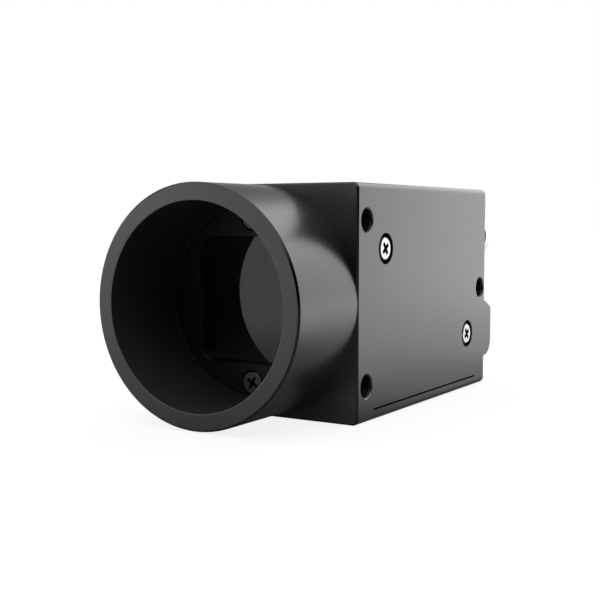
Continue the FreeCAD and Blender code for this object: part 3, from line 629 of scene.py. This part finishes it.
def steel(name, colour, roughness, centres, across="yz", top=None):
    """Turned metal: a faint grain, and fine rings about the nearer of one or two centres, across the
    two named axes. Where top gives an outward direction and the place of a screw's face that way,
    the metal keeps its colour on that face, and below it, in the recess and down the flank, it is
    painted black as shade."""
    made, tree, shader, place = material(name)
    shader.inputs["Metallic"].default_value = 1.0
    tone, grain_normal = with_grain(tree, shader, place, colour, roughness, 0.2, 0.0006, 0.08, 0.05)
    if top:
        unpainted = placed(tree, SCREW_SHADE, {"Vector": place, "Outward": top[0], "Face": top[1] * MM})["Unpainted"]
        # painted shade: the recess and the flank below the face are black
        tree.links.new(mixed(tree, unpainted, (0.012, 0.012, 0.012, 1.0), tone), shader.inputs["Base Color"])
    keep = tuple(1.0 if axis in across else 0.0 for axis in "xyz")
    spots = [tuple(c * MM * k for c, k in zip(centre, keep)) for centre in centres]
    rings = placed(tree, RINGS, {"Vector": place, "Across": keep, "Centre": spots[0],
                                 "Other Centre": spots[-1], "Ring Size": 0.16 * MM})
    bump = tree.nodes.new("ShaderNodeBump")
    bump.inputs["Distance"].default_value = 0.0008 * MM
    tree.links.new(rings["Height"], bump.inputs["Height"])
    tree.links.new(grain_normal, bump.inputs["Normal"])
    tree.links.new(bump.outputs["Normal"], shader.inputs["Normal"])
    return made


bore_screws = []
for z, turn in zip(SCREW_HEIGHTS, (59.0, 55.0)):
    bore_screws.append(cross_screw(
        "bore_screw", (0, PLATE_FACE, z), "+y", head=1.5, height=0.75, shank=0.75, length=2.8,
        slot_width=0.38, slot_depth=0.5, reach=0.85, turn=turn, slope=0.16))
bore_screws = gathered("bore_screws", bore_screws)
screw_centres = [(0, 0, z) for z in SCREW_HEIGHTS]
# the face keeps the blackened steel's colour, and the recess and flank are painted black as shade
bore_screws.data.materials.append(steel(
    "blackened steel", (0.35, 0.35, 0.355), 0.35, screw_centres, across="xz", top=((0, -1, 0), -PLATE_FACE)))
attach(bore_screws, "root")
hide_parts("aperture_screws")

# The filter glass, a square pane behind the window, coated against infrared light. The aperture
# plate presses it on a thin foam frame.
GLASS_CORNER = 0.2
glass_line = ((8.9, 13.56), (9.0, 13.66), (9.0, 14.44), (8.9, 14.54))
glass_rows = [(square_reach(half, GLASS_CORNER), y) for half, y in glass_line]
filter_glass = carried("filter_pane", stations(glass_rows))
coated_glass, tree, shader, place = material("coated filter glass")
shader.inputs["IOR"].default_value = 2.08
shader.inputs["Transmission Weight"].default_value = 1.0
cloud = clouded(tree, shader, place, 220.0, (0.030, 0.033, 0.036), (0.040, 0.044, 0.048))
tree.links.new(ramp(tree, cloud, 0.3, 0.7, 0.015, 0.03), shader.inputs["Roughness"])
filter_glass.data.materials.append(coated_glass)
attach(filter_glass, "root")
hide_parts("filter_glass")

# The cover, top and both sides in one extruded and milled aluminium shell, anodised with the
# front block. Two screws on each side hold it to the lugs of the end blocks.
COVER_YS = (BLOCK_BACK, 49.35)
COVER_EDGE = -12.98
COVER_BREAK = 0.05
COVER_INNER = 12.9
CORNER = 13.7
COVER_SCREWS = [(20.2, 6.5), (46.4, -6.5)]


def extruded(name, section):
    """A section, with columns across and up, carried straight from the front block to the rear one."""
    rings = [np.stack([section[:, 0], np.full(len(section), y), section[:, 1]], -1) for y in COVER_YS]
    return carried(name, np.stack(rings) * MM)


cover = extruded("cover_shell", np.vstack([
    [(BLOCK_HALF - COVER_BREAK, COVER_EDGE), (BLOCK_HALF, COVER_EDGE + COVER_BREAK), (BLOCK_HALF, 0.0),
     (BLOCK_HALF, 13.5)],
    arc((CORNER, CORNER), EDGE, 0, 90, 13), [(13.5, BLOCK_HALF), (0.0, BLOCK_HALF), (-13.5, BLOCK_HALF)],
    arc((-CORNER, CORNER), EDGE, 90, 180, 13),
    [(-BLOCK_HALF, 13.5), (-BLOCK_HALF, 0.0), (-BLOCK_HALF, COVER_EDGE + COVER_BREAK),
     (-BLOCK_HALF + COVER_BREAK, COVER_EDGE)],
    [(-COVER_INNER, COVER_EDGE), (-COVER_INNER, COVER_INNER), (COVER_INNER, COVER_INNER),
     (COVER_INNER, COVER_EDGE)],
]))
pocket_line = [(0, -0.5), (1.96, -0.5), (1.96, 0.0), (1.93, 0.03), (1.93, 1.1), (1.0, 1.1), (1.0, 2.0),
               (0, 2.0)]
pockets = [turned("pocket", pocket_line, (side * BLOCK_HALF, y, z), axis, 72)
           for y, z in COVER_SCREWS for side, axis in ((1, "-x"), (-1, "+x"))]
cover = worked(cover, gathered("pockets", pockets))
cover.data.materials.append(black_anodised)
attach(cover, "root")
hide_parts("housing_cover")

# The cover screws, bright steel with a flat head and a cross recess. Each lies nearly level with
# the cover in a pocket with a narrow gap round the head, and goes into a lug of an end block.
SCREW_FACE = BLOCK_HALF - 0.05
for label, (y, z) in zip(("front", "rear"), COVER_SCREWS):
    pair = []
    for side, axis in ((1, "-x"), (-1, "+x")):
        pair.append(cross_screw(
            "cover_screw", (side * SCREW_FACE, y, z), axis, head=1.5, height=1.05, shank=0.95, length=2.2,
            slot_width=0.56, slot_depth=0.7, reach=0.88, turn=37.0 * side, slope=0.22))
    pair = gathered("cover_screw_pair_" + label, pair)
    # painted shade: black in the recess and down the flank, bright steel on the face
    pair.data.materials.append(steel(
        "bright steel " + label, (0.96, 0.96, 0.955), 0.24, [(0, y, z)], top=((1, 0, 0), SCREW_FACE)))
    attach(pair, "root")
    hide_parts("cover_screws_" + label)

# The floor, a thick anodised plate that closes the body from below, held by tongues in the end
# blocks. A narrow gap shows between its edge and the cover.
FLOOR_EDGE = -13.18
FLOOR_STEP = (12.85, -12.1)
floor_parts = [extruded("floor_slab", np.vstack([
    [(FLOOR_STEP[0], FLOOR_EDGE), FLOOR_STEP, (-FLOOR_STEP[0], FLOOR_STEP[1]), (-FLOOR_STEP[0], FLOOR_EDGE)],
    [(-BLOCK_HALF, FLOOR_EDGE)],
    arc((-CORNER, -CORNER), EDGE, 180, 270, 13), arc((CORNER, -CORNER), EDGE, 270, 360, 13),
    [(BLOCK_HALF, FLOOR_EDGE)],
]))]
for xs in ((3.0, 8.0), (-8.0, -3.0)):
    for ys in ((16.37, 17.2), (49.3, 50.15)):
        floor_parts.append(block_box("tongue", xs, ys, (FLOOR_EDGE, FLOOR_EDGE + 0.8), 0.1))
floor_plate = gathered("floor_slab", floor_parts)
floor_plate.data.materials.append(black_anodised)
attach(floor_plate, "root")
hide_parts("floor_plate")

# The rear housing, an aluminium end block anodised with the rest, and milled with a ledge across
# its lower half that carries the data socket. Its posts carry the connector board.
REAR_FRONT, REAR_FACE, LEDGE_FACE = 49.35, 53.0, 55.8
REAR_ROUND = 0.2
LEDGE_END_ROUND = 0.25
REAR_HOLE = 51.1
LOCK_HOLES = [(-9.0, -6.6), (9.0, -6.6)]
rear_edge = [(square_reach(BLOCK_HALF - REAR_ROUND + REAR_ROUND * math.cos(a),
                           EDGE - REAR_ROUND + REAR_ROUND * math.cos(a)),
              REAR_FACE - REAR_ROUND + REAR_ROUND * math.sin(a)) for a in np.radians([0, 22.5, 45, 67.5, 90])]
rows = [(block_side, REAR_FRONT), (block_side, 49.4), (block_side, 52.7), *rear_edge]
rear_block = carried("rear_block", stations(rows))

# the ledge: its side outline is carried across the block, and drawn in towards its two ends
ledge_line = np.vstack([
    [(52.0, -10.4)], arc((53.5, -8.1), 2.3, -90, 0, 17), [(LEDGE_FACE, -3.6)],
    arc((55.6, -3.4), 0.2, 0, 62, 4)[1:], [(53.45, -2.13)], [(53.3, -2.1)], [(52.0, -2.1)],
])
ends = np.radians([90, 67.5, 45, 22.5, 0])
xs = np.append(BLOCK_HALF, BLOCK_HALF - LEDGE_END_ROUND + LEDGE_END_ROUND * np.sin(ends))
pull = np.append(LEDGE_END_ROUND + 0.04, LEDGE_END_ROUND - LEDGE_END_ROUND * np.cos(ends))
rings = []
for x, drawn_in in zip(np.concatenate([-xs, xs[::-1]]), np.concatenate([pull, pull[::-1]])):
    reach = np.where(ledge_line[:, 0] > 52.5, ledge_line[:, 0] - drawn_in, ledge_line[:, 0])
    rings.append(np.stack([np.full(len(reach), x), reach, ledge_line[:, 1]], -1))
ledge = carried("ledge", np.stack(rings) * MM)
rear_block = worked(rear_block, ledge, operation="UNION")

POWER = (9.8, 0, 7.5)
LIGHT = (-9.6, 0, 6.2)
light_way_line = [(0, 40), (1.05, 40), (1.05, 52.85), (1.2, 53.0), (1.2, 60), (0, 60)]
cutters = [
    block_box("data_way", (-6.175, 6.175), (40.0, 60.0), (-8.12, -5.08), 0.65, 6),
    turned("power_way", [(0, 40), (2.95, 40), (2.95, 60), (0, 60)], POWER, "+y", 72),
    turned("light_way", light_way_line, LIGHT, "+y", 48),
]
for x, z in LOCK_HOLES:
    cutters.append(thread_cutter(
        "lock", (x, LEDGE_FACE, z), "-y", depth=5.0, minor=0.8, major=0.95, mouth=1.0, pitch=0.4))
cutters.append(thread_cutter("tap", (BLOCK_HALF, REAR_HOLE, 0), "-x"))
cutters.append(thread_cutter("tap", (-BLOCK_HALF, REAR_HOLE, 0), "+x"))
cutters.append(thread_cutter("tap", (0, REAR_HOLE, -BLOCK_HALF), "+z"))
rear_block = worked(rear_block, gathered("rear_cutters", cutters))
post_line = [(0.0, 44.4), (1.5, 44.4), (1.6, 44.5), (1.6, 49.5), (0.0, 49.5)]
inner = [turned("post", post_line, (x, 0, z), "+y", 24)
         for x, z in ((-POST_ACROSS, POST_UP), (-POST_ACROSS, -POST_UP), (POST_ACROSS, -POST_UP))]
for xs in ((-LUG_OUT, -LUG_IN), (LUG_IN, LUG_OUT)):
    inner.append(block_box("lug", xs, (44.55, 49.5), (-8.5, -4.5), LUG_ROUND))
rear_block = gathered("rear_block", [rear_block] + inner)
rear_block.data.materials.append(black_anodised)
rear_block.data.materials.append(hole_shade_black)
middle = face_middles(rear_block)
# painted shade: the faces inside the tapped holes and the lock holes get the near-black material
threads = within(middle, 0, (REAR_HOLE, 0.0), 1.52, THREAD_FOOT, THREAD_MOUTH)
threads |= within(middle, 2, (0.0, REAR_HOLE), 1.52, THREAD_FOOT, THREAD_MOUTH)
for x, z in LOCK_HOLES:
    threads |= within(middle, 1, (x, z), 1.0, LEDGE_FACE - 5.2, LEDGE_FACE - 0.12)
rear_block.data.polygons.foreach_set("material_index", threads.astype(int))
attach(rear_block, "root")
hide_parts("rear_housing")

# The data socket's mouth, drawn from thin steel and nickel plated. It is soldered to the
# connector board and comes through the ledge.
SOCKET_HEIGHT = -6.6


def slot_ring(half_width, half_height, corner, y):
    """A rectangle with rounded corners across the optical axis."""
    parts = [arc((sx * (half_width - corner), sz * (half_height - corner)), corner, a, a + 90, 7)
             for sx, sz, a in ((1, 1, 0), (-1, 1, 90), (-1, -1, 180), (1, -1, 270))]
    line = np.vstack(parts)
    return np.stack([line[:, 0], np.full(len(line), y), line[:, 1] + SOCKET_HEIGHT], -1) * MM


outside, inside = (6.125, 1.47, 0.6), (5.825, 1.17, 0.35)
mouth_line = [(outside, 44.4), (outside, 55.3), ((6.075, 1.42, 0.55), 55.4), ((5.875, 1.22, 0.4), 55.4),
              (inside, 55.3), (inside, 48.4), ((0.5, 0.2, 0.1), 48.4)]
data_shell = carried("data_socket_mouth", np.stack([slot_ring(*size, y) for size, y in mouth_line]))
data_shell.data.materials.append(steel("nickel plate", (0.88, 0.88, 0.87), 0.24, [POWER], across="xz"))
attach(data_shell, "root")
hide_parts("data_socket_shell")

# The data socket's tongue, moulded in black plastic, with ten gold-plated contacts on each of
# its two faces.
TONGUE_HALF = 0.35
CONTACT_THICK = 0.035
tongue = [block_box("tongue_core", (-4.6, 4.6), (48.3, 54.2),
                    (SOCKET_HEIGHT - TONGUE_HALF, SOCKET_HEIGHT + TONGUE_HALF), 0.08)]
for x in np.linspace(-3.9, 3.9, 10):
    for z in (-7.0, -6.235):
        tongue.append(block_box("contact", (x - 0.2, x + 0.2), (48.6, 54.0), (z, z + CONTACT_THICK)))
data_tongue = gathered("data_socket_contacts", tongue)
gold = grained("contact gold", (0.83, 0.62, 0.28), 0.3, 0.3, 0.001, {"Metallic": 1.0})
data_tongue.data.materials.append(grained("moulded tongue", (0.03, 0.03, 0.032), 0.42, 0.3, 0.001, {}))
data_tongue.data.materials.append(gold)
from_middle = np.abs(face_middles(data_tongue)[:, 2] - SOCKET_HEIGHT)
data_tongue.data.polygons.foreach_set("material_index", (from_middle > TONGUE_HALF + 0.002).astype(int))
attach(data_tongue, "root")
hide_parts("data_socket_tongue")

# The power socket's barrel, turned from brass and nickel plated satin, with a bright collar that
# the plug slides over. Behind the collar it is threaded and black, up to the nut.
BARREL, BARREL_BORE = 3.4, 2.75
THREAD_START, THREAD_PITCH = 54.7, 0.32
COLLAR_START, BARREL_END = 56.64, 58.5
shell_line = [(BARREL_BORE, 45.75), (2.9, 45.75), (2.9, 53.8), (3.25, 53.8), (BARREL, 53.95), (BARREL, 54.6)]
for k in range(5):
    y = THREAD_START + k * THREAD_PITCH
    shell_line += [(BARREL, y), (BARREL - 0.12, y + THREAD_PITCH / 2)]
shell_line += [(BARREL, 56.3), (3.22, 56.36), (3.22, 56.58), (BARREL, COLLAR_START), (BARREL, 58.0),
               (BARREL, BARREL_END - 0.15), (3.25, BARREL_END), (2.9, BARREL_END),
               (BARREL_BORE, BARREL_END - 0.15), (BARREL_BORE, 50.0)]
power_shell = turned("power_socket_barrel", shell_line, POWER, "+y", 96, loop=True)
power_shell.data.materials.append(steel("satin nickel", (0.95, 0.945, 0.935), 0.33, [POWER], across="xz"))
power_shell.data.materials.append(black_anodised)
middle = face_middles(power_shell)
power_centre = (POWER[0], POWER[2])
black_part = within(middle, 1, power_centre, BARREL + 0.1, THREAD_START, COLLAR_START - 0.02)
black_part &= ~within(middle, 1, power_centre, BARREL - 0.4, THREAD_START, COLLAR_START - 0.02)
power_shell.data.polygons.foreach_set("material_index", black_part.astype(int))
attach(power_shell, "root")
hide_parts("power_socket_shell")

# The power socket's nut, a black anodised hexagon that clamps the barrel in the rear wall. Its
# ring of points follows the six flats, and a turned shape takes off the corners.
NUT_FLAT, NUT_BORE, NUT_TOP = 3.7, 2.9, 54.9
turn = np.radians(np.arange(0, 360, 5.0))
flat = NUT_FLAT / np.cos((turn + math.pi / 6) % (math.pi / 3) - math.pi / 6)
nut_rows = []
for reach, y in ((NUT_BORE, REAR_FACE), (flat, REAR_FACE), (flat, NUT_TOP), (NUT_BORE, NUT_TOP)):
    nut_rows.append(laid(reach * np.cos(turn), reach * np.sin(turn), np.full(turn.shape, y), POWER, "+y"))
power_nut = carried("power_socket_hexagon", np.stack(nut_rows), loop=True)
dome_line = [(0, 50), (4.05, 50), (4.05, 54.65), (3.8, 54.92), (0, 54.92)]
power_nut = worked(power_nut, turned("dome", dome_line, POWER, "+y", 96), operation="INTERSECT")
power_nut.data.materials.append(black_anodised)
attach(power_nut, "root")
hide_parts("power_socket_nut")

# The power socket's insert, moulded in black plastic and pressed into the barrel, with a key
# that keeps the plug from going in turned.
insert_line = [(0, 45.75), (BARREL_BORE, 45.75), (BARREL_BORE, 53.8), (2.65, 53.9), (0, 53.9)]
insert = [turned("insert_core", insert_line, POWER, "+y", 72)]
insert.append(block_box("key", (9.4, 10.2), (53.8, 57.6), (9.75, 10.3), 0.1))
power_insert = gathered("power_socket_core", insert)
power_insert.data.materials.append(grained(
    "black insert plastic", (0.022, 0.022, 0.023), 0.45, 0.3, 0.001, {}))
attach(power_insert, "root")
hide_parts("power_socket_insert")

# The power socket's six pins, turned from brass and gold plated. They stand in a circle in the
# insert and end in round tips.
PIN_CIRCLE = 1.6
pin_line = [(0, 44.4), (0.3, 44.4), (0.3, 56.5), (0.24, 56.62), (0.12, 56.7), (0, 56.7)]
pins = []
for a in np.radians(np.arange(0, 360, 60)):
    centre = (POWER[0] + PIN_CIRCLE * math.cos(a), 0, POWER[2] + PIN_CIRCLE * math.sin(a))
    pins.append(turned("pin", pin_line, centre, "+y", 24))
power_pins = gathered("power_socket_gold_pins", pins)
power_pins.data.materials.append(gold)
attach(power_pins, "root")
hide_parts("power_socket_pins")

# The status light's rod, clear moulded plastic with a milky end. It is pressed into the rear
# wall and carries the light of a lamp on the connector board to the back.
rod_line = [(0, 45.2), (0.95, 45.2), (1.0, 45.25), (1.0, 53.0), (0.96, 53.1), (0.8, 53.18), (0.4, 53.2),
            (0, 53.2)]
light_rod = turned("status_light_rod", rod_line, LIGHT, "+y", 48)
light_rod.data.materials.append(grained(
    "clear light rod", (0.82, 0.84, 0.82), 0.22, 0.4, 0.001, {"Transmission Weight": 0.25, "IOR": 1.49}))
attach(light_rod, "root")
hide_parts("status_light_pipe")


# The inner parts: boards, chips, plugs, spacers and the sensor. They stay as the frame gives them
# and get their own finishes: printed board, moulded resin, plated metal, ceramic and glass.
def finish(made, *names):
    """Gives the named parts of the frame that material."""
    for name in names:
        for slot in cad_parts[name].material_slots:
            slot.material = made


def plain_part(name, colour, roughness, metallic=0.0, pit=0.3):
    """A small part's finish, with more change of tone than the housing has."""
    return grained(name, colour, roughness, pit, 0.001, {"Metallic": metallic}, spread=0.08, uneven=0.12)


finish(plain_part("green board", (0.01, 0.09, 0.035), 0.35, 0.0, 1.2),
       "sensor_board", "processor_board", "interface_board", "connector_board")
finish(plain_part("chip resin", (0.02, 0.02, 0.021), 0.5), "processor_chip", "memory_chip", "data_chip")
finish(plain_part("coil ferrite", (0.07, 0.065, 0.06), 0.6), "power_coils")
finish(plain_part("capacitor can", (0.7, 0.7, 0.71), 0.25, 1.0), "capacitors")
finish(plain_part("brass spacer", (0.62, 0.47, 0.22), 0.28, 1.0), "front_spacers", "rear_spacers")
finish(plain_part("zinc screw", (0.6, 0.6, 0.6), 0.3, 1.0), "board_screws", "connector_board_screws")
finish(plain_part("plug resin", (0.72, 0.66, 0.52), 0.5), "link_plug_front", "link_socket_front",
       "link_plug_middle", "link_socket_middle", "link_plug_rear", "link_socket_rear")
finish(plain_part("ceramic", (0.05, 0.045, 0.05), 0.4), "image_sensor")
finish(plain_part("black foam", (0.015, 0.015, 0.015), 0.8), "filter_gasket")
finish(plain_part("lamp resin", (0.7, 0.72, 0.5), 0.3), "status_lamp")
silicon, tree, shader, place = material("silicon")
shader.inputs["Metallic"].default_value = 1.0
cloud = clouded(tree, shader, place, 60.0, (0.030, 0.026, 0.036), (0.036, 0.030, 0.044))
tree.links.new(ramp(tree, cloud, 0.3, 0.7, 0.26, 0.30), shader.inputs["Roughness"])
finish(silicon, "sensor_die")
finish(grained("sensor glass", (0.9, 0.92, 0.92), 0.02, 2.0, 0.0001, {"Transmission Weight": 1.0, "IOR": 1.5},
               spread=0.01), "sensor_window")
